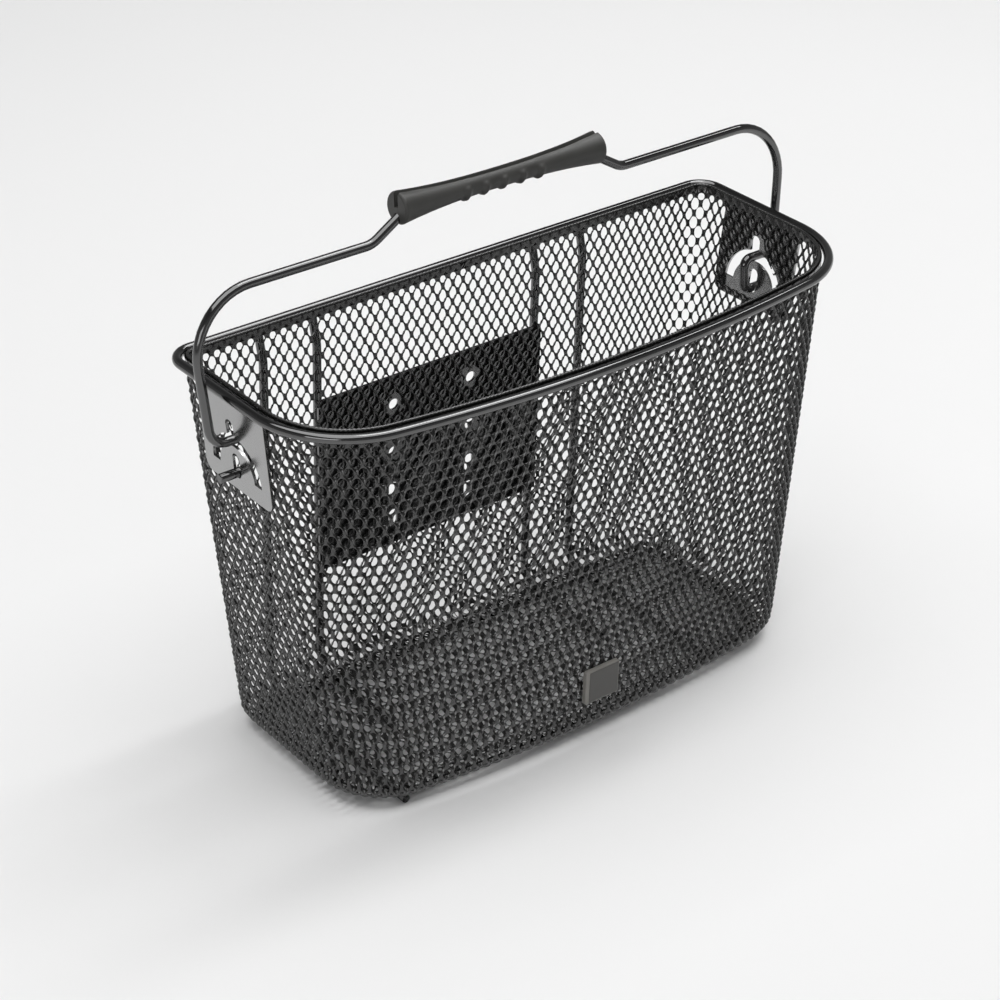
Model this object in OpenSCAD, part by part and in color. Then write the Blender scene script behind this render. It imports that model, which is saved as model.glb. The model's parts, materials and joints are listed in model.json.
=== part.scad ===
// Expanded-metal handlebar basket with a swinging wire bail.
// Millimetres. +Z up, +X along the basket's length, -Y the face away from the bicycle,
// +Y the face that is bolted to the bicycle. The origin is on the floor, under the middle
// of the basket's footprint.

/* [Body] */
// Length of the rim between the centrelines of its two end wires
rim_length = 342; // [300:1:400]
// Height of the rim's centreline above the floor
rim_height = 217.5; // [180:0.5:260]
// Length of the mesh body at the floor, before the bottom edge is rounded
base_length = 294; // [240:1:340]
// Most forward point of the rim's centreline
rim_front = 70.5; // [60:0.5:90]
// Rearward distance of the rim's straight back wire
rim_back = 62.5; // [50:0.5:80]
// Most forward point of the mesh at the floor
base_front = 69.8; // [55:0.1:90]
// Rearward distance of the flat back wall
base_back = 60; // [45:0.5:78]
// Radius of the long front bow of the rim
front_bow_radius = 853; // [400:1:2000]
// Radius of the rim's front corners
front_corner_radius = 50; // [20:1:60]
// Radius of the rim's back corners
back_corner_radius = 12; // [6:1:30]
// Radius of the front corners at the floor
base_front_corner_radius = 39; // [20:1:60]
// Radius of the back corners at the floor
base_back_corner_radius = 22; // [6:1:40]
// Radius of the rounded bottom edge
bottom_edge_radius = 10; // [4:0.5:20]
// Thickness of the expanded sheet
mesh_thickness = 1.6; // [0.8:0.1:3]
// Height of the folded hem inside the rim
hem_height = 8.6; // [4:0.1:14]
// Thickness of the folded hem
hem_thickness = 1; // [0.6:0.1:1.6]

/* [Wire] */
// Diameter of the rim wire
rim_wire_d = 5; // [3:0.1:8]
// Diameter of the stay wires
stay_wire_d = 4.5; // [3:0.1:6]
// Diameter of the bail wire
bail_wire_d = 4.8; // [3:0.1:6]

/* [Back plate] */
// Width of the back plate
plate_width = 144; // [100:1:200]
// Height of the back plate
plate_height = 100; // [60:1:150]
// Thickness of the back plate
plate_thickness = 1.5; // [1:0.1:3]
// Sideways position of the middle of the back plate
plate_x = -14; // [-40:1:40]
// Height of the back plate's lower edge
plate_bottom = 65.5; // [30:0.5:110]
// Sideways distance between the two columns of holes
hole_spacing_x = 50; // [30:0.5:80]
// Distance between the two rows of round holes
hole_spacing_z = 28; // [15:0.5:50]
// Height of the upper row of round holes
hole_top_z = 149; // [100:0.5:160]
// Diameter of the round holes
hole_d = 6; // [4:0.1:8]
// Width of the upright slots
slot_width = 5.5; // [4:0.1:8]
// End-to-end length of the upright slots
slot_length = 10; // [6:0.5:20]
// Height of the upper slots' middle
slot_top_z = 97.5; // [80:0.5:120]
// Distance between the two rows of slots
slot_spacing_z = 16.5; // [12:0.5:30]
// Distance of the inner stays from the middle of the back plate
inner_stay_offset = 70; // [40:1:90]
// Distance of the outer stays from the middle of the back plate
outer_stay_offset = 102; // [92:1:120]
// Forward reach of the outer stays under the base
outer_stay_reach = 55; // [20:1:68]
// Forward reach of the inner stays under the base
inner_stay_reach = 4; // [0:1:60]

/* [Hinge plates] */
// Width of each hinge plate
hinge_plate_width = 55; // [46:1:80]
// Height of each hinge plate's lower edge
hinge_plate_bottom = 165; // [140:0.5:170]
// Thickness of each hinge plate
hinge_plate_thickness = 1.5; // [1:0.1:3]
// Rearward position of the bail's pivot
pivot_y = 13; // [0:0.5:30]
// Height of the bail's pivot
pivot_z = 175; // [172:0.5:185]
// Radius of the arched slot's middle line about the pivot
arch_radius = 17.3; // [14:0.1:20]
// Width of the arched slot, its notch and the pivot slot
hinge_slot_width = 6; // [5.4:0.1:8]
// Height of the notch's top above the pivot
notch_reach = 28.5; // [22:0.5:34]
// Height of the pivot slot
pivot_slot_height = 13.5; // [8:0.5:20]

/* [Bail] */
// Backward lean of the bail where it is stored, in degrees
bail_lean = 5.2; // [0:0.1:15]
// Distance of the bail's widest point from the middle
bail_half_width = 183.5; // [178:0.5:200]
// Height of the bail's top wire above the pivot
bail_top = 91; // [70:0.5:140]
// Bend radius of the bail's top corners
bail_corner_radius = 31; // [15:1:45]
// Distance of the cranked end's inner limb from the middle
crank_x = 158.5; // [150:0.5:159]
// Distance of the pivot end's tip from the middle
pin_tip_x = 175.5; // [170:0.5:176]

/* [Grip] */
// Length of the grip
grip_length = 124; // [90:1:150]
// Sideways position of the middle of the grip
grip_x = -4.8; // [-12:0.1:12]
// Height of the grip's middle line above the pivot
grip_axis = 105; // [90:0.5:150]
// Radius at the waist of the grip
grip_waist_r = 4.9; // [4.4:0.1:8]
// Radius at the flared ends of the grip
grip_flare_r = 8.4; // [6:0.1:12]
// Spacing of the finger ridges
ridge_spacing = 11.3; // [8:0.1:16]

/* [Badge] */
// Width of the blank badge
badge_width = 22; // [10:0.5:40]
// Height of the blank badge
badge_height = 19.5; // [10:0.5:30]
// Thickness of the blank badge
badge_thickness = 2.8; // [1:0.1:5]
// Sideways position of the badge
badge_x = -6; // [-40:0.5:40]
// Height of the badge's middle
badge_z = 37; // [25:0.5:80]

/* [Hidden] */
$fn = 64;

gloss_black = [0.05, 0.05, 0.05];
satin_black = [0.09, 0.09, 0.09];
warm_grey = [0.42, 0.41, 0.39];

rim_r = rim_wire_d / 2;
stay_r = stay_wire_d / 2;
bail_r = bail_wire_d / 2;
floor_gap = stay_wire_d;               // the mesh rides on the stay wires
wire_sides = 12;                       // flats round a bent wire
bend_step = 15;                        // degrees between the stations of a bend
rim_gap = 0.2;                         // between the rim wire and the mesh inside it
wall_top = rim_height + 1.5;
// moves the whole basket so that its footprint is centred on the origin
frame_y = (rim_front + rim_r - (rim_back + rim_r + stay_wire_d + 0.1)) / 2;

// A body outline is [half length, front, bow radius, front corner, back, back corner].
rim_line = [rim_length / 2, rim_front, front_bow_radius, front_corner_radius,
            rim_back, back_corner_radius];
mesh_top = inset_line(rim_line, rim_r + rim_gap);
mesh_floor = [base_length / 2, base_front, 900, base_front_corner_radius,
              base_back, base_back_corner_radius];

function inset_line(o, d) = [o[0] - d, o[1] - d, o[2] - d, o[3] - d, o[4] - d, o[5] - d];
function blend_line(a, b, t) = a * (1 - t) + b * t;
function bow_centre_y(o) = o[2] - o[1];
function front_corner_y(o) =
    bow_centre_y(o) - sqrt(pow(o[2] - o[3], 2) - pow(o[0] - o[3], 2));
function bow_half_angle(o) = atan2(o[0] - o[3], bow_centre_y(o) - front_corner_y(o));
function arc_points(cx, cy, r, a0, a1, n) =
    [for (i = [0:n]) let (a = a0 + (a1 - a0) * i / n) [cx + r * cos(a), cy + r * sin(a)]];

// counter-clockwise outline from the front left
function outline_points(o) =
    let (q = bow_half_angle(o), fy = front_corner_y(o), fx = o[0] - o[3], bx = o[0] - o[5])
    concat(arc_points(0, bow_centre_y(o), o[2], 270 - q, 270 + q, 14),
           arc_points(fx, fy, o[3], 270 + q + 8, 360, 9),
           arc_points(bx, o[4] - o[5], o[5], 0, 90, 6),
           arc_points(-bx, o[4] - o[5], o[5], 90, 180, 6),
           arc_points(-fx, fy, o[3], 180, 270 - q - 8, 9));

// outline of the mesh's outer face at a height z, before the bottom edge is rounded
function wall_line(z) =
    blend_line(mesh_floor, mesh_top, (z - floor_gap) / (rim_height - floor_gap));
function ring(z, inset) =
    [for (p = outline_points(inset_line(wall_line(z), inset))) [p[0], p[1], z]];
// ring on the rounded bottom edge, q degrees up from the floor, rho from the edge's centre
function edge_ring(q, rho) =
    ring(floor_gap + bottom_edge_radius - rho * cos(q), bottom_edge_radius - rho * sin(q));

// closed tube of rings, each joined to the next and the last to the first
module ring_loop(rings) {
    n = len(rings);
    m = len(rings[0]);
    polyhedron(
        points = [for (r = rings) each r],
        faces = [for (i = [0:n - 1], j = [0:m - 1])
            let (a = i * m + j, b = i * m + (j + 1) % m,
                 c = ((i + 1) % n) * m + (j + 1) % m, d = ((i + 1) % n) * m + j)
            each [[a, d, c], [a, c, b]]]);
}

function unit(v) = v / norm(v);
function turn(a, b, c) = let (u = unit(b - a), v = unit(c - b)) u[0] * v[1] - u[1] * v[0];
function turn_angle(a, b, c) =
    let (u = unit(b - a), v = unit(c - b)) acos(max(-1, min(1, u * v)));
function bend_reach(p, r, i) = r[i - 1] * tan(turn_angle(p[i - 1], p[i], p[i + 1]) / 2);
function bend_start(p, r, i) = p[i] - unit(p[i] - p[i - 1]) * bend_reach(p, r, i);
function bend_end(p, r, i) = p[i] + unit(p[i + 1] - p[i]) * bend_reach(p, r, i);

// stations [x, y, heading] along the points p in the XY plane, bent to radius r[i] at each
// inner point
function heading(a, b) = atan2(b[1] - a[1], b[0] - a[0]);
function bend_stations(p, r, i) =
    let (s = bend_start(p, r, i),
         side = turn(p[i - 1], p[i], p[i + 1]) > 0 ? 1 : -1,
         u = unit(p[i] - p[i - 1]),
         c = s + side * r[i - 1] * [-u[1], u[0]],
         sweep = side * turn_angle(p[i - 1], p[i], p[i + 1]),
         first = heading(c, s),
         n = max(1, ceil(abs(sweep) / bend_step)))
    [for (k = [0:n]) let (q = first + sweep * k / n)
        [c[0] + r[i - 1] * cos(q), c[1] + r[i - 1] * sin(q),
         heading(p[i - 1], p[i]) + sweep * k / n]];
function wire_stations(p, r) =
    let (last = len(p) - 1)
    concat([[p[0][0], p[0][1], heading(p[0], p[1])]],
           [for (i = [1:last - 1]) each bend_stations(p, r, i)],
           [[p[last][0], p[last][1], heading(p[last - 1], p[last])]]);

// wire swept along the stations, with wire_sides flats
module bent_wire(p, r, d) {
    st = wire_stations(p, r);
    n = len(st);
    m = wire_sides;
    polyhedron(
        points = [for (s = st, j = [0:m - 1]) let (q = (j + 0.5) * 360 / m)
            [s[0] - d / 2 * cos(q) * sin(s[2]), s[1] + d / 2 * cos(q) * cos(s[2]),
             d / 2 * sin(q)]],
        faces = concat(
            [[for (j = [0:m - 1]) j]],
            [for (i = [0:n - 2], j = [0:m - 1]) let (k = (j + 1) % m)
                [i * m + j, (i + 1) * m + j, (i + 1) * m + k, i * m + k]],
            [[for (j = [m - 1:-1:0]) (n - 1) * m + j]]));
}

module wire_arc(cx, cy, r, a0, a1, d)
    translate([cx, cy, 0]) rotate([0, 0, a0])
        rotate_extrude(angle = a1 - a0) translate([r, 0]) circle(d = d);

module wire_run(a, b, d)
    translate([a[0], a[1], 0]) rotate([0, 90, atan2(b[1] - a[1], b[0] - a[0])])
        cylinder(h = norm(b - a), d = d);

// a rectangle from [0,0] with all four corners rounded
module rounded_rect(w, h, r) {
    translate([r, 0]) square([w - 2 * r, h]);
    translate([0, r]) square([w, h - 2 * r]);
    for (x = [r, w - r], y = [r, h - r]) translate([x, y]) circle(r);
}

// an upright slot centred on the origin
module upright_slot(w, l) {
    translate([-w / 2, -(l - w) / 2]) square([w, l - w]);
    for (s = [-1, 1]) translate([0, s * (l - w) / 2]) circle(d = w);
}

module plate_holes(grow) {
    for (sx = [-1, 1]) {
        for (k = [0, 1])
            translate([sx * hole_spacing_x / 2, hole_top_z - k * hole_spacing_z])
                circle(d = hole_d + grow);
        for (k = [0, 1])
            translate([sx * hole_spacing_x / 2, slot_top_z - k * slot_spacing_z])
                upright_slot(slot_width + grow, slot_length + grow);
    }
}

wall_slope = atan2(mesh_top[0] - mesh_floor[0], rim_height - floor_gap);
wall_x_at_pivot = mesh_floor[0]
    + (mesh_top[0] - mesh_floor[0]) * (pivot_z - floor_gap) / (rim_height - floor_gap);

module rim_wire() color(gloss_black) translate([0, frame_y, rim_height]) {
    o = rim_line;
    q = bow_half_angle(o);
    fy = front_corner_y(o);
    fx = o[0] - o[3];
    bx = o[0] - o[5];
    wire_arc(0, bow_centre_y(o), o[2], 270 - q, 270 + q, rim_wire_d);
    wire_arc(fx, fy, o[3], 270 + q, 360, rim_wire_d);
    wire_arc(-fx, fy, o[3], 180, 270 - q, rim_wire_d);
    wire_arc(bx, o[4] - o[5], o[5], 0, 90, rim_wire_d);
    wire_arc(-bx, o[4] - o[5], o[5], 90, 180, rim_wire_d);
    wire_run([-bx, o[4]], [bx, o[4]], rim_wire_d);
    for (s = [-1, 1]) wire_run([s * o[0], fy], [s * o[0], o[4] - o[5]], rim_wire_d);
}

module mesh_hem() color(gloss_black) translate([0, frame_y, 0]) {
    top = wall_top + 0.6;
    gap = mesh_thickness + 0.06;
    ring_loop([ring(top - hem_height, gap), ring(top, gap),
               ring(top, gap + hem_thickness), ring(top - hem_height, gap + hem_thickness)]);
}

// flat-sided clearance window behind a hinge plate's slots
module hinge_window() {
    r = arch_radius + 4.5;
    w = hinge_slot_width;
    top = notch_reach + 1;
    rotate([90, 0, 90]) translate([0, 0, -30]) linear_extrude(60)
        polygon(concat(arc_points(0, 0, r, 0, 70, 7), [[w, top], [-w, top]],
                       arc_points(0, 0, r, 110, 180, 7), [[-r, -7], [r, -7]]));
}

module mesh_wall() color(gloss_black) translate([0, frame_y, 0]) difference() {
    low = floor_gap + bottom_edge_radius;
    ring_loop([ring(low, 0), ring(wall_top, 0),
               ring(wall_top, mesh_thickness), ring(low, mesh_thickness)]);
    for (s = [-1, 1]) translate([s * wall_x_at_pivot, pivot_y, pivot_z]) hinge_window();
    translate([plate_x, base_back + 4, 0]) rotate([90, 0, 0])
        linear_extrude(8) plate_holes(0.8, $fn = 12);
}

// shallow pan whose rounded edge turns up to meet the wall
module mesh_base() color(gloss_black) translate([0, frame_y, 0]) {
    rings = concat(
        [for (q = [0:22.5:90]) edge_ring(q, bottom_edge_radius)],
        [for (q = [90:-22.5:0]) edge_ring(q, bottom_edge_radius - mesh_thickness)]);
    n = len(rings);
    m = len(rings[0]);
    polyhedron(
        points = [for (r = rings) each r],
        faces = concat(
            [[for (j = [0:m - 1]) j]],
            [for (i = [0:n - 2], j = [0:m - 1])
                let (a = i * m + j, b = i * m + (j + 1) % m,
                     c = (i + 1) * m + (j + 1) % m, d = (i + 1) * m + j)
                each [[a, d, c], [a, c, b]]],
            [[for (j = [m - 1:-1:0]) (n - 1) * m + j]]));
}

// the stays hook behind the rim wire, run down the back and turn under the base
module stay(x, reach) {
    back = base_back + 0.1 + plate_thickness + 0.1 + stay_r;
    behind_rim = rim_back + rim_r + 0.1 + stay_r;
    color(gloss_black) translate([x, frame_y, 0]) rotate([90, 0, 90])
        bent_wire([[behind_rim, rim_height], [behind_rim, rim_height - 9],
                   [back, rim_height - 22], [back, stay_r], [reach, stay_r]],
                  [10, 10, 14], stay_wire_d / cos(180 / wire_sides));
}

module outer_left_stay() stay(plate_x - outer_stay_offset, -outer_stay_reach);
module inner_left_stay() stay(plate_x - inner_stay_offset, -inner_stay_reach);
module inner_right_stay() stay(plate_x + inner_stay_offset, -inner_stay_reach);
module outer_right_stay() stay(plate_x + outer_stay_offset, -outer_stay_reach);

module back_mount_plate() color(gloss_black)
    translate([plate_x, frame_y + base_back + 0.1 + plate_thickness, 0]) rotate([90, 0, 0])
        linear_extrude(plate_thickness) difference() {
            translate([-plate_width / 2, plate_bottom])
                rounded_rect(plate_width, plate_height, 3);
            plate_holes(0);
        }

// arched slot about the pivot, its upright notch, and the pivot slot below
module hinge_slots() {
    half = hinge_slot_width / 2;
    difference() {
        circle(arch_radius + half);
        circle(arch_radius - half);
        translate([-50, -100]) square([100, 100]);
    }
    rotate([0, 0, -bail_lean]) {
        translate([-half - 0.2, arch_radius]) square([2 * half + 0.4, notch_reach - arch_radius - half]);
        translate([0, notch_reach - half - 0.2]) circle(half + 0.2);
    }
    translate([0, pivot_slot_height / 2 - half]) upright_slot(hinge_slot_width, pivot_slot_height);
}

// drawn with its slots about the pivot, flat, then stood against the sloping end wall
module hinge_plate(side) {
    w = hinge_plate_width;
    low = hinge_plate_bottom - pivot_z;
    high = rim_height - rim_r - 0.4 - pivot_z;
    color(gloss_black)
        translate([side * (wall_x_at_pivot + 0.1), frame_y + pivot_y, pivot_z])
            rotate([0, side * wall_slope, 0])
                rotate([90, 0, 90])
                    translate([0, 0, side > 0 ? 0 : -hinge_plate_thickness])
                        linear_extrude(hinge_plate_thickness) difference() {
                            union() {
                                translate([-w / 2, low]) rounded_rect(w, high - low - 2, 5);
                                translate([-w / 2, high - 20]) square([w, 20]);
                            }
                            hinge_slots();
                        }
}

module left_hinge_plate() hinge_plate(-1);
module right_hinge_plate() hinge_plate(1);

// one side of the bail in its own plane, from the pivot tip to the grip
function bail_side(s) = [[s * pin_tip_x, 0], [s * crank_x, 0], [s * crank_x, arch_radius],
    [s * 178.5, arch_radius], [s * (bail_half_width + 0.9), bail_top],
    [grip_x + s * (grip_length / 2 + 15), bail_top],
    [grip_x + s * (grip_length / 2 - 8), grip_axis - 0.5]];
bail_bends = [4.4, 4.4, 9.5, bail_corner_radius, 13, 12];
function reversed(v) = [for (i = [len(v) - 1:-1:0]) v[i]];

module bail_frame() translate([0, frame_y + pivot_y, pivot_z]) rotate([-bail_lean, 0, 0])
    rotate([90, 0, 0]) children();

module bail_wire() color(gloss_black) bail_frame() {
    bent_wire(concat(bail_side(-1), reversed(bail_side(1))),
              concat(bail_bends, reversed(bail_bends)), bail_wire_d - 0.02);
    // round pivot ends
    for (s = [-1, 1]) translate([s * (crank_x + 3.5), 0, 0]) rotate([0, s * 90, 0])
        cylinder(h = pin_tip_x + 0.1 - crank_x - 3.5, d = bail_wire_d);
}

module grip_profile() {
    n = 12;
    half = grip_length / 2;
    grow = grip_flare_r - grip_waist_r;
    polygon(concat(
        [[0, -half], [grip_flare_r - 1.2, -half]],
        [for (i = [-n:n]) [grip_waist_r + grow * pow(abs(i) / n, 2.4), i / n * (half - 2.5)]],
        [[grip_flare_r - 1.2, half], [0, half]]));
}

module bail_grip() color(satin_black) bail_frame() translate([grip_x, grip_axis, 0])
    difference() {
        half = grip_length / 2;
        union() {
            rotate([0, 90, 0]) rotate([0, 0, 90]) rotate_extrude() grip_profile();
            for (i = [-2:2]) translate([i * ridge_spacing, -grip_waist_r + 1.1, 0])
                cylinder(h = 6.4, d = 3.6, center = true);
        }
        translate([-half + 11, -0.5, 0]) rotate([0, 90, 0])
            cylinder(h = 2 * half - 22, d = bail_wire_d + 0.2);
        for (s = [-1, 1]) translate([s * (half - 7) - 10, -20, -bail_r - 0.1])
            cube([20, 22.2, bail_wire_d + 0.2]);
        translate([-80, 0, -0.8]) cube([160, 20, 1.6]);
    }

module badge() color(warm_grey)
    translate([badge_x - badge_width / 2, frame_y - base_front - 0.25, badge_z - badge_height / 2])
        rotate([90, 0, 0]) linear_extrude(badge_thickness)
            rounded_rect(badge_width, badge_height, 1.2);

rim_wire();
mesh_hem();
mesh_wall();
mesh_base();
outer_left_stay();
inner_left_stay();
inner_right_stay();
outer_right_stay();
back_mount_plate();
left_hinge_plate();
right_hinge_plate();
bail_wire();
bail_grip();
badge();
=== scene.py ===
import json
import math

import bmesh
import bpy
import numpy as np
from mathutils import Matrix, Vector


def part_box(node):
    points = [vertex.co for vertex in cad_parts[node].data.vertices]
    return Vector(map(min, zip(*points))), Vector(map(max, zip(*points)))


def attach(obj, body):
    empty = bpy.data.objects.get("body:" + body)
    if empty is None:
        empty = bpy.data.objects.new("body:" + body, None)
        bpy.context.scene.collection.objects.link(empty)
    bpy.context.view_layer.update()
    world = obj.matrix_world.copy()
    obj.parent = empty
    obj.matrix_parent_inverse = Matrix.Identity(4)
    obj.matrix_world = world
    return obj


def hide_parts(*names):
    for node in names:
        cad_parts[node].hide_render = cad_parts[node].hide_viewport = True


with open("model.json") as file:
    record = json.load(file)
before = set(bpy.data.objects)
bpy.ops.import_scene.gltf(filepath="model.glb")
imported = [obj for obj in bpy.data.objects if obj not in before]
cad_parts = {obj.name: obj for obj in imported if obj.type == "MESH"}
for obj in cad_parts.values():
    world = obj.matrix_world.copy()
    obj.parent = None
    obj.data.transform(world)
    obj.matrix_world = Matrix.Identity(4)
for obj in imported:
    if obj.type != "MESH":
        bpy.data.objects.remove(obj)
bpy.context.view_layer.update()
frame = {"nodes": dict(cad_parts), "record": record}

MM = 0.001

# ---- the basket's outline, as in the CAD -------------------------------------------------
# An outline is [half length, front, bow radius, front corner, back, back corner].
RIM = np.array([171.0, 70.5, 853.0, 50.0, 62.5, 12.0]) * MM
FLOOR = np.array([147.0, 69.8, 900.0, 39.0, 60.0, 22.0]) * MM

rim_lo, rim_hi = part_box("rim_wire")
RIM_R = (rim_hi.z - rim_lo.z) / 2
RIM_Z = (rim_hi.z + rim_lo.z) / 2
SHIFT_Y = rim_hi.y - RIM_R - RIM[4]
MESH_TOP = RIM - (RIM_R + 0.2 * MM)
pan_lo, pan_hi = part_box("mesh_base")
EDGE_LOW = pan_lo.z
EDGE_TOP = pan_hi.z
EDGE_R = EDGE_TOP - EDGE_LOW
LAP = 6 * MM

# ---- the expanded metal ------------------------------------------------------------------
PITCH_UP = 10.7 * MM
PITCH_ALONG = 6.5 * MM
HOLE = (2.2 * MM, 3.1 * MM)
HOLE_BLUNT = 0.88
PAN_HOLE = (1.65 * MM, 2.45 * MM)
SEAM_HOLE = (1.8 * MM, 1.8 * MM)
PIN_HOLE = (0.55 * MM, 0.35 * MM)
HOLE_SIDES = 12
STRAND_T = 0.8 * MM
STRAND_TWIST = 0.8 * MM
STRAND_EDGE = 0.15 * MM
STRAND_CROWN = (0.72, 0.25)
MID_INSET = 1.2 * MM
PLAIN_COLUMNS = 16
END_COLUMNS = 34
HALF_COLUMNS = 2 * PLAIN_COLUMNS + END_COLUMNS
PLAIN_X = PLAIN_COLUMNS * PITCH_ALONG
TOP_FULL_ROW = 208.05 * MM


def arc(cx, cy, radius, first, last, count):
    """Points and outward directions along an arc, angles in degrees."""
    angles = np.radians(np.linspace(first, last, count))
    directions = np.stack([np.cos(angles), np.sin(angles)], axis=1)
    return directions * radius + (cx, cy), directions


def right_half(o):
    """Points and outward directions of an outline's right half, front middle to back middle."""
    half, front, bow, corner, back, back_corner = o
    centre_y = bow - front
    corner_y = centre_y - math.sqrt((bow - corner) ** 2 - (half - corner) ** 2)
    sweep = math.degrees(math.atan2(half - corner, centre_y - corner_y))
    parts = [
        arc(0, centre_y, bow, 270, 270 + sweep, 30),
        arc(half - corner, corner_y, corner, 270 + sweep, 360, 24),
        arc(half - back_corner, back - back_corner, back_corner, 0, 90, 16),
        (np.array([[0.0, back]]), np.array([[0.0, 1.0]])),
    ]
    points = np.concatenate([p for p, _ in parts])
    points[:, 1] += SHIFT_Y
    return points, np.concatenate([d for _, d in parts])


def outline(o):
    """A whole outline as a closed loop of points."""
    points, _ = right_half(o)
    left = points[1:-1][::-1] * (-1, 1)
    return np.concatenate([points, left])


def profile(v):
    """Height, inset and turn of the sheet at v, its height measured along the sheet."""
    turn = math.pi / 2 - max(0.0, EDGE_TOP - v) / EDGE_R
    if turn >= 0:
        return (v if turn == math.pi / 2 else EDGE_TOP - EDGE_R * math.cos(turn),
                EDGE_R * (1 - math.sin(turn)), turn)
    return EDGE_LOW, EDGE_R * (1 - turn), 0.0


def on_wall(column, v, outward):
    """Places in space for points given by column, height along the sheet and offset."""
    placed = np.empty((len(column), 3))
    column = np.where(column > HALF_COLUMNS, column - 2 * HALF_COLUMNS, column)
    side = np.where(column < 0, -1.0, 1.0)
    knots = [0, PLAIN_COLUMNS, PLAIN_COLUMNS + END_COLUMNS, HALF_COLUMNS]
    levels, where = np.unique(np.round(v, 7), return_inverse=True)
    for k, level in enumerate(levels):
        mine = where == k
        z, inset, turn = profile(level)
        blend = (max(z, EDGE_TOP) - EDGE_LOW) / (RIM_Z - EDGE_LOW)
        points, away = right_half(FLOOR * (1 - blend) + MESH_TOP * blend - inset - MID_INSET)
        steps = np.linalg.norm(np.diff(points, axis=0), axis=1)
        run = np.concatenate([[0.0], np.cumsum(steps)])
        widest = int(np.argmax(points[:, 0]))
        front = np.interp(PLAIN_X, points[:widest, 0], run[:widest])
        back = run[-1] - PLAIN_X
        s = np.interp(np.abs(column[mine]), knots, [0, front, back, run[-1]])
        x, y = (np.interp(s, run, points[:, i]) for i in (0, 1))
        nx, ny = (np.interp(s, run, away[:, i]) for i in (0, 1))
        off = outward[mine]
        placed[mine, 0] = side[mine] * (x + nx * math.sin(turn) * off)
        placed[mine, 1] = y + ny * math.sin(turn) * off
        lift = MID_INSET * math.cos(turn)
        placed[mine, 2] = z + lift - math.cos(turn) * off
    return placed


def cell_rings(half_u, half_v, hole, drop):
    """The six rings of one cell, each as along, up and outward offsets."""
    angles = np.arange(HOLE_SIDES) * 2 * math.pi / HOLE_SIDES
    c, s = np.cos(angles), np.sin(angles)
    reach = np.abs(c) + np.abs(s)
    diamond = (c / reach * half_u, s / reach * half_v)
    c, s = (np.sign(t) * np.abs(t) ** HOLE_BLUNT for t in (c, s))
    half_t = STRAND_T / 2
    twist = STRAND_TWIST * s * min(1.0, hole[1] / HOLE[1])
    rings = [(*diamond, np.full(HOLE_SIDES, half_t))]
    shoulder, edge = STRAND_CROWN
    for grow, out in ((STRAND_EDGE, shoulder), (0, edge), (0, -edge), (STRAND_EDGE, -shoulder)):
        rings.append(((hole[0] + grow) * c, (hole[1] + grow) * s - drop, out * half_t + twist))
    rings.append((*diamond, np.full(HOLE_SIDES, -half_t)))
    return [np.stack(r) for r in zip(*rings)]


def lattice(rows, place, low=None, high=None):
    """Vertices and faces of a lattice. A row is (columns, height, hole, drop of the hole)."""
    vertices, faces, base = [], [], 0
    for columns, height, hole, drop in rows:
        along, up, outward = cell_rings(PITCH_ALONG / 2, PITCH_UP / 2, hole, drop)
        count = along.size
        n = len(columns)
        u = (np.asarray(columns)[:, None] + along.ravel()[None, :] / PITCH_ALONG).ravel()
        v = np.tile(height + up.ravel(), n)
        if low is not None:
            v = np.maximum(v, low)
        if high is not None:
            v = np.minimum(v, high)
        vertices.append(np.stack([u, v, np.tile(outward.ravel(), n)], axis=1))
        ring, j = np.meshgrid(np.arange(5), np.arange(HOLE_SIDES), indexing="ij")
        nxt = (j + 1) % HOLE_SIDES
        quads = np.stack([ring * HOLE_SIDES + j, ring * HOLE_SIDES + nxt,
                          (ring + 1) * HOLE_SIDES + nxt, (ring + 1) * HOLE_SIDES + j], axis=-1)
        quads = quads.reshape(-1, 4)
        faces.append((quads[None] + base + (np.arange(n) * count)[:, None, None]).reshape(-1, 4))
        base += n * count
    flat = np.concatenate(vertices)
    return place(flat[:, 0], flat[:, 1], flat[:, 2]), np.concatenate(faces)


def new_object(name, data):
    """A new object in the scene that holds a mesh, a light or a camera."""
    obj = bpy.data.objects.new(name, data)
    bpy.context.scene.collection.objects.link(obj)
    return obj


def sheet_object(name, vertices, faces, cuts=()):
    """A mesh object with shared corners merged. A cut is (inside test, move to its edge)."""
    doomed = np.zeros(len(faces), bool)
    for inside, to_edge in cuts:
        hit = inside(vertices)
        doomed |= hit[faces].all(axis=1)
        vertices = np.where(hit[:, None], to_edge(vertices), vertices)
    faces = faces[~doomed]
    _, first, where = np.unique(np.round(vertices, 6), axis=0,
                                return_index=True, return_inverse=True)
    faces = where.ravel()[faces]
    vertices = vertices[first]
    distinct = np.array([len(set(f)) for f in faces.tolist()])
    whole = faces[distinct == 4].tolist()
    mesh = bpy.data.meshes.new(name)
    thin = [list(dict.fromkeys(f)) for f in faces[distinct == 3].tolist()]
    mesh.from_pydata(vertices.tolist(), [], whole + thin)
    mesh.validate()
    bm = bmesh.new()
    bm.from_mesh(mesh)
    loose = [v for v in bm.verts if not v.link_faces]
    bmesh.ops.delete(bm, geom=loose, context="VERTS")
    bm.to_mesh(mesh)
    bm.free()
    mesh.polygons.foreach_set("use_smooth", [True] * len(mesh.polygons))
    return new_object(name, mesh)


# ---- swept shapes ------------------------------------------------------------------------
CAP_SHRINK = 0.8
CAP_DEPTH = 0.18
FLAT_ANGLE = math.radians(0.6)
SHARP_ANGLE = math.radians(40)


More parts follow.
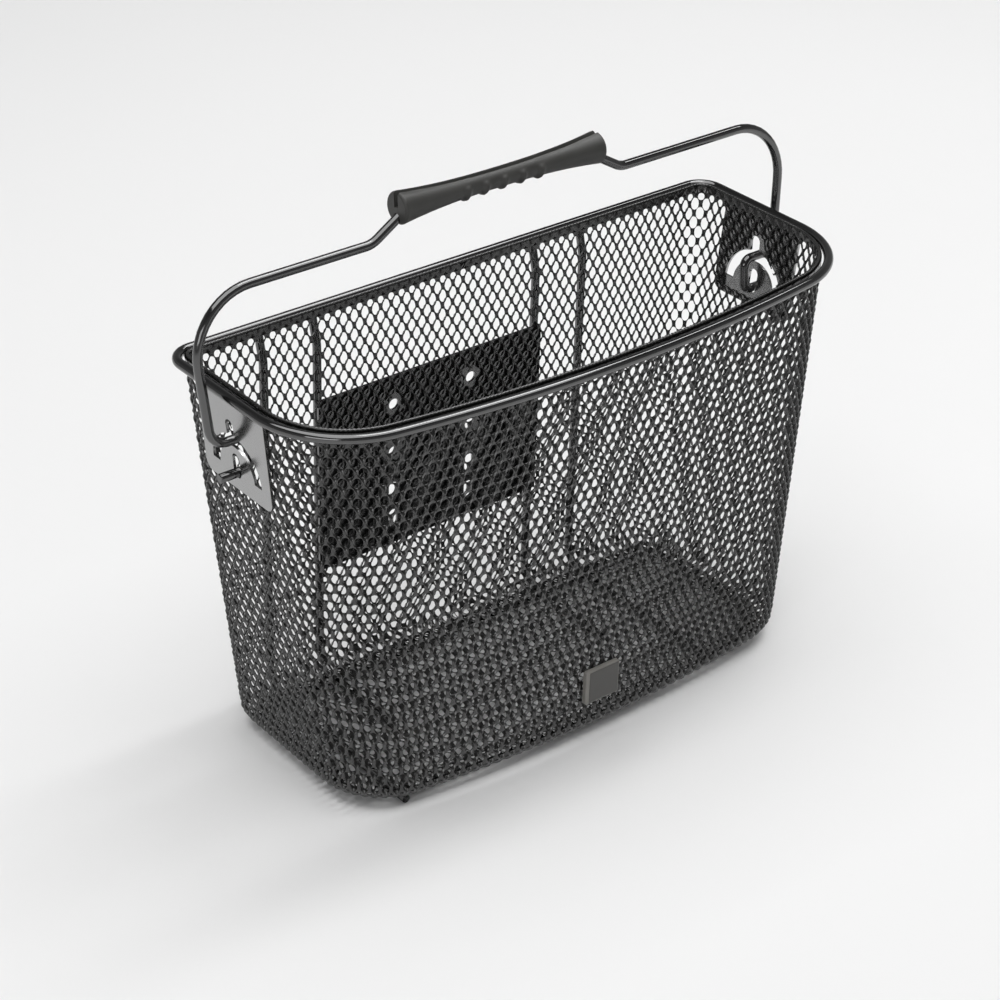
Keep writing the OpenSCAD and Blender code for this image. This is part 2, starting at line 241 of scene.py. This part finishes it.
def bridge(bm, rings, closed=False):
    """Joins each ring of corners to the next with quads, and caps the ends of an open row."""
    following = rings[1:] + rings[:1] if closed else rings[1:]
    for a, b in zip(rings, following):
        for j in range(len(a)):
            k = (j + 1) % len(a)
            bm.faces.new((a[j], a[k], b[k], b[j]))
    if not closed:
        bm.faces.new(rings[0][::-1])
        bm.faces.new(rings[-1])
    bmesh.ops.recalc_face_normals(bm, faces=bm.faces)


def object_from(name, bm, smooth=lambda polygon: len(polygon.vertices) == 4):
    """A new object from a bmesh. smooth says which of its faces are shaded smooth."""
    mesh = bpy.data.meshes.new(name)
    bm.to_mesh(mesh)
    bm.free()
    for polygon in mesh.polygons:
        polygon.use_smooth = smooth(polygon)
    return new_object(name, mesh)


def rounded(points, radii, step=8.0):
    """A path with each inner corner turned into an arc of its radius."""
    points = [Vector(p) for p in points]
    path = [points[0]]
    for before, corner, after, radius in zip(points, points[1:], points[2:], radii):
        a = (corner - before).normalized()
        b = (after - corner).normalized()
        angle = a.angle(b)
        reach = radius * math.tan(angle / 2)
        start = corner - a * reach
        inward = (b - a * a.dot(b)).normalized()
        centre = start + inward * radius
        count = max(2, math.ceil(math.degrees(angle) / step))
        for k in range(count + 1):
            t = angle * k / count
            path.append(centre - inward * radius * math.cos(t) + a * radius * math.sin(t))
    path.append(points[-1])
    return path


def tube(name, path, radius, closed=False, sides=24, up=Vector((0, 0, 1)), shape=None):
    """A round wire along a path. shape(distance, angle) scales the radius where given."""
    path = [Vector(p) for p in path]
    count = len(path)
    bm = bmesh.new()
    rings = []
    run = 0.0
    for i, p in enumerate(path):
        if closed:
            ahead, behind = path[(i + 1) % count], path[i - 1]
        else:
            ahead, behind = path[min(i + 1, count - 1)], path[max(i - 1, 0)]
        tangent = (ahead - behind).normalized()
        side = tangent.cross(up).normalized()
        other = side.cross(tangent)
        if i:
            run += (p - path[i - 1]).length
        ring = []
        for j in range(sides):
            angle = 2 * math.pi * j / sides
            r = radius * (shape(run, angle) if shape else 1.0)
            ring.append(bm.verts.new(p + side * math.cos(angle) * r + other * math.sin(angle) * r))
        rings.append(ring)
    if not closed:
        for at, end in ((0, -1), (count - 1, 1)):
            tangent = (path[at] - path[at - end]).normalized()
            source = rings[at]
            centre = path[at] + tangent * radius * CAP_DEPTH
            edge = [bm.verts.new(centre + (v.co - path[at]) * CAP_SHRINK) for v in source]
            rings.insert(0 if end < 0 else len(rings), edge)
    bridge(bm, rings, closed)
    return object_from(name, bm)


def bevelled(name, node, width, segments=2):
    """A copy of a CAD plate with its sharp edges rounded."""
    bm = bmesh.new()
    bm.from_mesh(frame["nodes"][node].data)
    bmesh.ops.remove_doubles(bm, verts=bm.verts, dist=1e-6)
    bmesh.ops.dissolve_limit(bm, angle_limit=FLAT_ANGLE, verts=bm.verts, edges=bm.edges)
    sharp = [e for e in bm.edges if len(e.link_faces) == 2 and e.calc_face_angle() > SHARP_ANGLE]
    bmesh.ops.bevel(bm, geom=sharp, offset=width, segments=segments, affect="EDGES",
                    clamp_overlap=True, profile=0.5)
    obj = object_from(name, bm, smooth=lambda polygon: True)
    weighted = obj.modifiers.new("even faces", "WEIGHTED_NORMAL")
    weighted.keep_sharp = False
    weighted.weight = 100
    return obj


# ---- finishes ----------------------------------------------------------------------------
NOISE_RANGE = (0.3, 0.7)
GRAIN_DEPTH = 0.1 * MM
COAT_ROUGHNESS = 0.12


def finish(name, dark, light, rough, patch=55.0, grain=0.0, grain_scale=900.0, coat=0.0,
           specular=0.5, ior=1.5):
    """A coated surface: tone and roughness vary in soft patches, with a fine skin on top."""
    material = bpy.data.materials.new(name)
    material.use_nodes = True
    nodes, links = material.node_tree.nodes, material.node_tree.links
    shader = nodes["Principled BSDF"]
    where = nodes.new("ShaderNodeTexCoord")
    patches = nodes.new("ShaderNodeTexNoise")
    patches.inputs["Scale"].default_value = patch
    patches.inputs["Detail"].default_value = 4.0
    links.new(where.outputs["Object"], patches.inputs["Vector"])
    tone = nodes.new("ShaderNodeMix")
    tone.data_type = "RGBA"
    tone.inputs[6].default_value = (*dark, 1)
    tone.inputs[7].default_value = (*light, 1)
    links.new(patches.outputs["Fac"], tone.inputs[0])
    links.new(tone.outputs[2], shader.inputs["Base Color"])
    spread = nodes.new("ShaderNodeMapRange")
    spread.inputs["From Min"].default_value = NOISE_RANGE[0]
    spread.inputs["From Max"].default_value = NOISE_RANGE[1]
    spread.inputs["To Min"].default_value = rough[0]
    spread.inputs["To Max"].default_value = rough[1]
    links.new(patches.outputs["Fac"], spread.inputs["Value"])
    links.new(spread.outputs["Result"], shader.inputs["Roughness"])
    if grain:
        skin = nodes.new("ShaderNodeTexNoise")
        skin.inputs["Scale"].default_value = grain_scale
        skin.inputs["Detail"].default_value = 3.0
        links.new(where.outputs["Object"], skin.inputs["Vector"])
        bump = nodes.new("ShaderNodeBump")
        bump.inputs["Strength"].default_value = grain
        bump.inputs["Distance"].default_value = GRAIN_DEPTH
        links.new(skin.outputs["Fac"], bump.inputs["Height"])
        links.new(bump.outputs["Normal"], shader.inputs["Normal"])
    shader.inputs["IOR"].default_value = ior
    shader.inputs["Specular IOR Level"].default_value = specular
    shader.inputs["Coat Weight"].default_value = coat
    shader.inputs["Coat Roughness"].default_value = COAT_ROUGHNESS
    return material


wire_black = finish("powder coat on wire", (0.004, 0.004, 0.0042), (0.008, 0.008, 0.008),
                    (0.07, 0.12), grain=0.03, specular=0.9, ior=1.68)
mesh_black = finish("powder coat on mesh", (0.005, 0.005, 0.0047), (0.011, 0.0108, 0.010),
                    (0.20, 0.28), specular=0.75, ior=1.6)
plate_black = finish("powder coat on plate", (0.006, 0.006, 0.0062), (0.012, 0.012, 0.012),
                     (0.18, 0.26), grain=0.10, specular=1.0, coat=0.8)
hinge_black = finish("gloss coat on hinge plate", (0.012, 0.012, 0.0115), (0.022, 0.022, 0.021),
                     (0.16, 0.26), patch=30.0, grain=0.06, specular=1.0, coat=1.0, ior=2.2)
grip_black = finish("grip plastic", (0.028, 0.028, 0.0262), (0.050, 0.0492, 0.046),
                    (0.42, 0.52), patch=90.0, grain=0.3, grain_scale=1400.0)
badge_grey = finish("badge rim plastic", (0.17, 0.165, 0.15), (0.22, 0.21, 0.195),
                    (0.4, 0.5), patch=120.0, grain=0.25, grain_scale=1200.0)
badge_dark = finish("badge face plastic", (0.055, 0.053, 0.050), (0.075, 0.073, 0.068),
                    (0.35, 0.45), patch=120.0, grain=0.2, grain_scale=1200.0)


def dress(obj, material, body, slot, *nodes):
    """Gives a piece its finish and its body, and hides the CAD nodes it stands for. The slot is
    not used.
    """
    obj.data.materials.clear()
    obj.data.materials.append(material)
    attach(obj, body)
    if nodes:
        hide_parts(*nodes)
    return obj


# ---- expanded-metal walls ----------------------------------------------------------------
plate_lo, plate_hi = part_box("back_mount_plate")
PLATE_X = (plate_lo.x + plate_hi.x) / 2
HOLE_X = 25 * MM
HOLE_HEIGHTS = (149 * MM, 121 * MM)
SLOT_HEIGHTS = (97.5 * MM, 81 * MM)
ROUND_HOLES = [(PLATE_X + side * HOLE_X, z) for side in (-1, 1) for z in HOLE_HEIGHTS]
SLOTS = [(PLATE_X + side * HOLE_X, z) for side in (-1, 1) for z in SLOT_HEIGHTS]
HOLE_CUT = 6.0 * MM
SLOT_CUT = 5.4 * MM
SLOT_STRETCH = 2.2 * MM
PIVOT_Y, PIVOT_Z = frame["record"]["behaviour"]["joints"][0]["pos_m"][1:]
WINDOW_R = 21 * MM
WINDOW_UP = 29.5 * MM
WINDOW_HALF = 5.6 * MM
WINDOW_DOWN = 6.5 * MM
WINDOW_X = 150 * MM
WINDOW_RING = 0.7 * WINDOW_R
NOTCH_END = 2 * MM
TINY = 1e-6


def disc_cut(x, z, radius, stretch=0.0):
    """A round or upright oval cut through the back wall."""
    def offset(p):
        dz = p[:, 2] - z
        dz = dz - np.clip(dz, -stretch, stretch)
        return np.stack([p[:, 0] - x, dz], axis=1)

    def inside(p):
        return np.linalg.norm(offset(p), axis=1) < radius

    def to_edge(p):
        d = offset(p)
        size = np.maximum(np.linalg.norm(d, axis=1), TINY)
        push = d / size[:, None] * (radius - size)[:, None]
        moved = p.copy()
        moved[:, 0] += push[:, 0]
        moved[:, 2] += push[:, 1]
        return moved

    return inside, to_edge


def window_cut(side):
    """The opening behind a hinge plate's slots: a half disc, a notch above, a strip below."""
    def parts(p):
        y, z = p[:, 1] - PIVOT_Y, p[:, 2] - PIVOT_Z
        radius = np.hypot(y, z)
        at_end = p[:, 0] * side > WINDOW_X
        disc = at_end & (z >= 0) & (radius < WINDOW_R)
        notch = at_end & (z > 0) & (np.abs(y) < WINDOW_HALF) & (z < WINDOW_UP)
        strip = at_end & (z < 0) & (z > -WINDOW_DOWN) & (np.abs(y) < WINDOW_R)
        return y, z, radius, disc, notch, strip

    def inside(p):
        *_, disc, notch, strip = parts(p)
        return disc | notch | strip

    def to_edge(p):
        y, z, radius, disc, notch, strip = parts(p)
        moved = p.copy()
        only_disc = disc & ~notch
        grow = WINDOW_R / np.maximum(radius, TINY)
        near = only_disc & (radius > WINDOW_RING)
        moved[near, 1] = PIVOT_Y + (y * grow)[near]
        moved[near, 2] = PIVOT_Z + (z * grow)[near]
        high = notch & (radius > WINDOW_RING)
        over = high & (z > WINDOW_UP - NOTCH_END)
        moved[over, 2] = PIVOT_Z + WINDOW_UP
        beside = high & ~over
        moved[beside, 1] = PIVOT_Y + (np.sign(y) * WINDOW_HALF)[beside]
        moved[strip, 2] = PIVOT_Z - WINDOW_DOWN
        return moved

    return inside, to_edge


SHEET_TOP = TOP_FULL_ROW + PITCH_UP
SHEET_LOW = EDGE_TOP - EDGE_R * math.pi / 2 - LAP
SEAM_DROP = 1.3 * MM
PIN_DROP = 2.9 * MM


def wall_rows(first, last, pan=False):
    """Rows of cells between two columns: the wall's, or the pan's rounded edge."""
    rows = []
    height = TOP_FULL_ROW
    k = 0
    while height > SHEET_LOW:
        if (height < EDGE_TOP) == pan:
            rows.append((height, k, PAN_HOLE if pan else HOLE, 0.0))
        height -= PITCH_UP / 2
        k += 1
    if not pan:
        rows.append((TOP_FULL_ROW + PITCH_UP / 2, -1, SEAM_HOLE, SEAM_DROP))
        rows.append((SHEET_TOP, -2, PIN_HOLE, PIN_DROP))
    return [(np.arange(first, last) + (0.5 if k % 2 else 0.0), height, hole, drop)
            for height, k, hole, drop in rows]


WALLS = [
    ("mesh_front", -PLAIN_COLUMNS, PLAIN_COLUMNS, ()),
    ("mesh_right_end", PLAIN_COLUMNS, PLAIN_COLUMNS + END_COLUMNS, (window_cut(1),)),
    ("mesh_back", PLAIN_COLUMNS + END_COLUMNS, 3 * PLAIN_COLUMNS + END_COLUMNS,
     [disc_cut(x, z, HOLE_CUT) for x, z in ROUND_HOLES]
     + [disc_cut(x, z, SLOT_CUT, SLOT_STRETCH) for x, z in SLOTS]),
    ("mesh_left_end", -PLAIN_COLUMNS - END_COLUMNS, -PLAIN_COLUMNS, (window_cut(-1),)),
]
for name, first, last, cuts in WALLS:
    cells = lattice(wall_rows(first, last), on_wall, high=SHEET_TOP)
    dress(sheet_object(name, *cells, cuts), mesh_black, "basket", "gloss_black", "mesh_wall")

edge_cells = lattice(wall_rows(-HALF_COLUMNS, HALF_COLUMNS, pan=True), on_wall, low=SHEET_LOW)
dress(sheet_object("mesh_pan_edge", *edge_cells), mesh_black, "basket", "gloss_black",
      "mesh_base")

# ---- floor of the pan --------------------------------------------------------------------
PAN_INSET = 9.5 * MM
PAN_Z = EDGE_LOW + 2.3 * MM
TAPER_LENGTH = 25 * MM
TAPER_HALF = 100 * MM
BATCH = 2000
pan_line = outline(FLOOR - PAN_INSET)


def on_floor(along, up, outward):
    """Places for the pan's flat cells, pulled in to the pan's outline."""
    x = along * PITCH_ALONG
    y = up
    inside = np.zeros(len(x), bool)
    ends = np.roll(pan_line, -1, axis=0)
    for (ax, ay), (bx, by) in zip(pan_line, ends):
        if ay == by:
            continue
        crossing = ((ay > y) != (by > y)) & (x < (bx - ax) * (y - ay) / (by - ay) + ax)
        inside ^= crossing
    fine = []
    for a, b in zip(pan_line, ends):
        count = max(1, int(np.linalg.norm(b - a) / MM))
        fine.append(a + (b - a) * (np.arange(count) / count)[:, None])
    fine = np.concatenate(fine)
    out = np.flatnonzero(~inside)
    for start in range(0, len(out), BATCH):
        some = out[start:start + BATCH]
        gap = (fine[None, :, 0] - x[some, None]) ** 2 + (fine[None, :, 1] - y[some, None]) ** 2
        nearest = fine[np.argmin(gap, axis=1)]
        x[some], y[some] = nearest[:, 0], nearest[:, 1]
    return np.stack([x, y, PAN_Z + outward], axis=1)


def floor_rows():
    """Rows of cells that cover the pan's outline."""
    reach = int(FLOOR[0] / PITCH_ALONG) + 1
    top = pan_line[:, 1].max()
    low = pan_line[:, 1].min()
    count = int((top - low) / (PITCH_UP / 2)) + 2
    for k in range(count):
        y = low + k * PITCH_UP / 2
        x = np.arange(-reach, reach) + (0.5 if k % 2 else 0.0)
        half = np.interp(y, [low, low + TAPER_LENGTH], [TAPER_HALF, FLOOR[0]])
        keep = np.abs(x) * PITCH_ALONG < half
        yield x[keep], y, PAN_HOLE, 0.0


pan_floor = sheet_object("mesh_pan_floor", *lattice(floor_rows(), on_floor))
dress(pan_floor, mesh_black, "basket", "gloss_black", "mesh_base")

# ---- rim wire and the folded hem ---------------------------------------------------------
rim_path = [(x, y, RIM_Z) for x, y in outline(RIM)]
dress(tube("rim_wire_round", rim_path, RIM_R, closed=True), wire_black, "basket",
      "gloss_black", "rim_wire")

_, hem_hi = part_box("mesh_hem")
HEM_IN = 1.75 * MM
HEM_LOW = 215.4 * MM
HEM_TOP = hem_hi.z - 0.5 * MM
BEAD_INSET = 2.2 * MM
BEAD_R = 0.85 * MM
BEAD_TWIST = 2.1 * MM
BEAD_DEPTH = 0.16
BEAD_STEP = 0.52 * MM
BEAD_Z = hem_hi.z - 0.35 * MM


def dense(o, step):
    """A closed outline with points at an even distance of about step."""
    line = outline(o)
    line = np.concatenate([line, line[:1]])
    run = np.concatenate([[0.0], np.cumsum(np.linalg.norm(np.diff(line, axis=0), axis=1))])
    s = np.linspace(0, run[-1], int(run[-1] / step), endpoint=False)
    return np.stack([np.interp(s, run, line[:, i]) for i in (0, 1)], axis=1)


def on_hem(column, v, outward):
    """The sheet's folded edge lies against the inside of the wall."""
    return on_wall(column, v, outward - HEM_IN)


hem_rows = [(columns, height, PIN_HOLE, 0.0)
            for columns, height, _, _ in wall_rows(-HALF_COLUMNS, HALF_COLUMNS)[-2:]]
hem_cells = lattice(hem_rows, on_hem, low=HEM_LOW, high=HEM_TOP)
dress(sheet_object("hem_fold", *hem_cells), mesh_black, "basket", "gloss_black", "mesh_hem")


def bead_shape(run, angle):
    """The bead is slightly flat and twists along its length, like a rope."""
    return 1 + BEAD_DEPTH * math.cos(2 * angle - 2 * math.pi * run / BEAD_TWIST)


bead_path = [(x, y, BEAD_Z) for x, y in dense(MESH_TOP - BEAD_INSET, BEAD_STEP)]
bead = tube("hem_bead", bead_path, BEAD_R, closed=True, sides=8, shape=bead_shape)
dress(bead, mesh_black, "basket", "gloss_black", "mesh_hem")

# ---- stays -------------------------------------------------------------------------------
STAYS = ("outer_left_stay", "inner_left_stay", "inner_right_stay", "outer_right_stay")
STAY_TOP = 2.0 * MM
STAY_BEND_START = 9 * MM
STAY_BEND_END = 22 * MM
STAY_OFFSET = 3.4 * MM
STAY_TIP = 0.4 * MM
STAY_BENDS = (10 * MM, 10 * MM, 14 * MM)
for node in STAYS:
    lo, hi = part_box(node)
    r = (hi.x - lo.x) / 2
    x = (lo.x + hi.x) / 2
    behind_rim = hi.y - r
    back = behind_rim - STAY_OFFSET
    path = rounded([(x, behind_rim, hi.z - STAY_TOP), (x, behind_rim, hi.z - STAY_BEND_START),
                    (x, back, hi.z - STAY_BEND_END), (x, back, r), (x, lo.y + STAY_TIP, r)],
                   STAY_BENDS)
    dress(tube(node + "_wire", path, r, up=Vector((1, 0, 0))), wire_black, "basket",
          "gloss_black", node)

# ---- plates ------------------------------------------------------------------------------
PLATE_EDGE = 0.35 * MM
for node, coat in (("back_mount_plate", plate_black), ("left_hinge_plate", hinge_black),
                   ("right_hinge_plate", hinge_black)):
    dress(bevelled(node + "_pressed", node, PLATE_EDGE), coat, "basket", "gloss_black", node)

# ---- bail --------------------------------------------------------------------------------
BAIL_LEAN = math.radians(5.2)
BAIL_R = 2.4 * MM
GRIP_UP = 105 * MM
grip_lo, grip_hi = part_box("bail_grip")
GRIP_X = (grip_lo.x + grip_hi.x) / 2
GRIP_HALF = (grip_hi.x - grip_lo.x) / 2
PIVOT_TIP = 175.5 * MM
CRANK_X = 158.5 * MM
CRANK_UP = 17.3 * MM
LEG_X = 178.5 * MM
SHOULDER_X = 184.4 * MM
BAR_UP = 91 * MM
RAMP_OUT = 15 * MM
RAMP_IN = 8 * MM
BORE_UP = 104.5 * MM
BAIL_BENDS = [4.4 * MM, 4.4 * MM, 9.5 * MM, 31 * MM, 13 * MM, 12 * MM]


def bail_side(s):
    """One side of the bail in its own plane, from the pivot's tip to the grip."""
    return [(s * PIVOT_TIP, 0), (s * CRANK_X, 0), (s * CRANK_X, CRANK_UP), (s * LEG_X, CRANK_UP),
            (s * SHOULDER_X, BAR_UP), (GRIP_X + s * (GRIP_HALF + RAMP_OUT), BAR_UP),
            (GRIP_X + s * (GRIP_HALF - RAMP_IN), BORE_UP)]


def in_bail(x, up, out=0.0):
    """A place in the bail's own leaning plane, from the pivot's middle."""
    return Vector((x, PIVOT_Y + up * math.sin(BAIL_LEAN) + out * math.cos(BAIL_LEAN),
                   PIVOT_Z + up * math.cos(BAIL_LEAN) - out * math.sin(BAIL_LEAN)))


bail_points = bail_side(-1) + bail_side(1)[::-1]
bail_path = rounded([in_bail(x, up) for x, up in bail_points], BAIL_BENDS + BAIL_BENDS[::-1])
bail_normal = (in_bail(0, 0, 1) - in_bail(0, 0)).normalized()
dress(tube("bail_wire_round", bail_path, BAIL_R, up=bail_normal), wire_black, "bail",
      "gloss_black", "bail_wire")

WAIST = 4.9 * MM
FLARE = 8.4 * MM
FLARE_POWER = 2.4
GRIP_END = 1.6 * MM
GRIP_END_DROP = 1.3 * MM
RIDGE_STEP = 11.3 * MM
RIDGE_SPAN = 2.5 * RIDGE_STEP
RIDGE_UP = 1.25 * MM
RIDGE_LIMIT = 0.45
RIDGE_FADE = 2.5
RIDGE_POWER = 5
SLIT_HALF = 1.5 * MM
SLIT_FLOOR = 0.2 * MM
SLIT_LIP = 0.45 * MM
LIP_GAP = 0.35 * MM
LIP_STEP = 0.1 * MM
NEAR_TOP = 0.9
STATIONS = 120
END_STATIONS = 6
END_ZONE = 2 * MM
BODY_START = 3 * MM


def grip_radius(x, angle):
    """Radius of the grip at x along it. Angle 90 degrees is up, away from the pivot."""
    t = min(1.0, abs(x) / GRIP_HALF)
    r = WAIST + (FLARE - WAIST) * t ** FLARE_POWER
    edge = max(0.0, abs(x) - (GRIP_HALF - GRIP_END)) / GRIP_END
    r -= GRIP_END_DROP * edge ** 2
    under = min(1.0, max(0.0, RIDGE_LIMIT - math.sin(angle)) * RIDGE_FADE)
    if abs(x) < RIDGE_SPAN:
        wave = 0.5 + 0.5 * math.cos(2 * math.pi * x / RIDGE_STEP)
        r += RIDGE_UP * under * wave ** RIDGE_POWER
    return r


def grip(name):
    """The moulded grip: a waisted body with finger ridges low on its sides and a slit on top."""
    angles = [math.radians(a) for a in range(-264, 85, 6)]
    bm = bmesh.new()
    rings = []
    stations = np.concatenate([
        np.linspace(-GRIP_HALF, -GRIP_HALF + END_ZONE, END_STATIONS),
        np.linspace(-GRIP_HALF + BODY_START, GRIP_HALF - BODY_START, STATIONS),
        np.linspace(GRIP_HALF - END_ZONE, GRIP_HALF, END_STATIONS)])
    for x in stations:
        ring = []
        radius = grip_radius(x, math.pi / 2)
        lip = radius - SLIT_LIP
        ring.append((-SLIT_HALF, SLIT_FLOOR))
        ring.append((-SLIT_HALF, lip))
        for a in angles:
            r = grip_radius(x, a)
            side = r * math.cos(a)
            if math.sin(a) > NEAR_TOP:
                side = math.copysign(max(abs(side), SLIT_HALF + LIP_GAP), side)
            ring.append((side, min(r * math.sin(a), radius - LIP_STEP)))
        ring.append((SLIT_HALF, lip))
        ring.append((SLIT_HALF, SLIT_FLOOR))
        rings.append([bm.verts.new(in_bail(GRIP_X + x, GRIP_UP + w, s)) for s, w in ring])
    bridge(bm, rings)
    obj = object_from(name, bm)
    split = obj.modifiers.new("crisp slit", "EDGE_SPLIT")
    split.split_angle = math.radians(50)
    return obj


dress(grip("grip_moulded"), grip_black, "bail", "satin_black", "bail_grip")

# ---- badge -------------------------------------------------------------------------------
dress(bevelled("badge_body", "badge", 0.6 * MM, segments=3), badge_grey, "basket",
      "badge_grey", "badge")
badge_lo, badge_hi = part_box("badge")
FACE_LEFT = 2.4 * MM
FACE_EDGE = 0.7 * MM
FACE_PROUD = 0.25 * MM
FACE_STEPS = ((0.0, -0.5), (0.0, 0.5), (0.12 * MM, 0.85), (0.3 * MM, 1.0))


def badge_face(name):
    """The darker blank panel let into the front of the badge, with a rounded edge."""
    x0, x1 = badge_lo.x + FACE_LEFT, badge_hi.x - FACE_EDGE
    z0, z1 = badge_lo.z + FACE_EDGE, badge_hi.z - FACE_EDGE
    bm = bmesh.new()
    loops = []
    for d, out in FACE_STEPS:
        y = badge_lo.y - FACE_PROUD * out
        loops.append([bm.verts.new(c) for c in ((x0 + d, y, z0 + d), (x1 - d, y, z0 + d),
                                                (x1 - d, y, z1 - d), (x0 + d, y, z1 - d))])
    bridge(bm, loops)
    return object_from(name, bm, smooth=lambda polygon: False)


dress(badge_face("badge_face"), badge_dark, "basket", "badge_grey", "badge")

# ---- floor, light and camera -------------------------------------------------------------
FLOOR_REACH = 8.0
floor_mesh = bpy.data.meshes.new("studio_floor")
corners = [(x * FLOOR_REACH, y * FLOOR_REACH, 0) for x, y in ((-1, -1), (1, -1), (1, 1), (-1, 1))]
floor_mesh.from_pydata(corners, [], [(0, 1, 2, 3)])
floor = new_object("studio_floor", floor_mesh)
paper = finish("studio paper", (0.79, 0.79, 0.79), (0.80, 0.80, 0.80), (0.85, 0.95), patch=3.0,
               specular=0.2)
floor_mesh.materials.append(paper)

scene = bpy.context.scene
scene.view_settings.view_transform = "Standard"
scene.view_settings.look = "None"


SKY_HEIGHT = 0.8


def studio_world(low, high):
    """A dim room: light of strength low at the horizon and of strength high overhead."""
    world = bpy.data.worlds.new("studio")
    world.use_nodes = True
    nodes, links = world.node_tree.nodes, world.node_tree.links
    where = nodes.new("ShaderNodeTexCoord")
    split = nodes.new("ShaderNodeSeparateXYZ")
    links.new(where.outputs["Generated"], split.inputs["Vector"])
    strength = nodes.new("ShaderNodeMapRange")
    strength.inputs["From Min"].default_value = 0.0
    strength.inputs["From Max"].default_value = SKY_HEIGHT
    strength.inputs["To Min"].default_value = low
    strength.inputs["To Max"].default_value = high
    links.new(split.outputs["Z"], strength.inputs["Value"])
    links.new(strength.outputs["Result"], nodes["Background"].inputs["Strength"])
    nodes["Background"].inputs["Color"].default_value = (1, 1, 1, 1)
    return world


scene.world = studio_world(0.32, 0.05)


def softbox(name, at, target, size, power):
    """A large soft light that faces its target."""
    light = bpy.data.lights.new(name, "AREA")
    light.shape = "RECTANGLE"
    light.size, light.size_y = size
    light.energy = power
    obj = new_object(name, light)
    obj.location = at
    obj.rotation_euler = (Vector(target) - Vector(at)).to_track_quat("-Z", "Y").to_euler()
    return obj


softbox("top light", (0.0, 0.0, 2.7), (0, 0, 0), (3.6, 3.2), 90)
softbox("long strip", (1.2, 0.15, 2.1), (1.2, 0.15, 0), (2.0, 0.3), 15)
softbox("front light", (-1.7, -1.0, 0.75), (0, 0, 0.12), (1.1, 0.7), 6)

CAMERA_AT = (-0.7163, -0.8368, 0.7720)
CAMERA_TURN = (58.617, -0.275, -36.670)
CAMERA_LENS = 90.47
CAMERA_SHIFT = (0.1132, 0.0099)
camera_data = bpy.data.cameras.new("camera")
camera_data.sensor_width = 36
camera_data.lens = CAMERA_LENS
camera_data.shift_x, camera_data.shift_y = CAMERA_SHIFT
camera = new_object("camera", camera_data)
camera.location = CAMERA_AT
camera.rotation_euler = [math.radians(a) for a in CAMERA_TURN]
scene.camera = camera
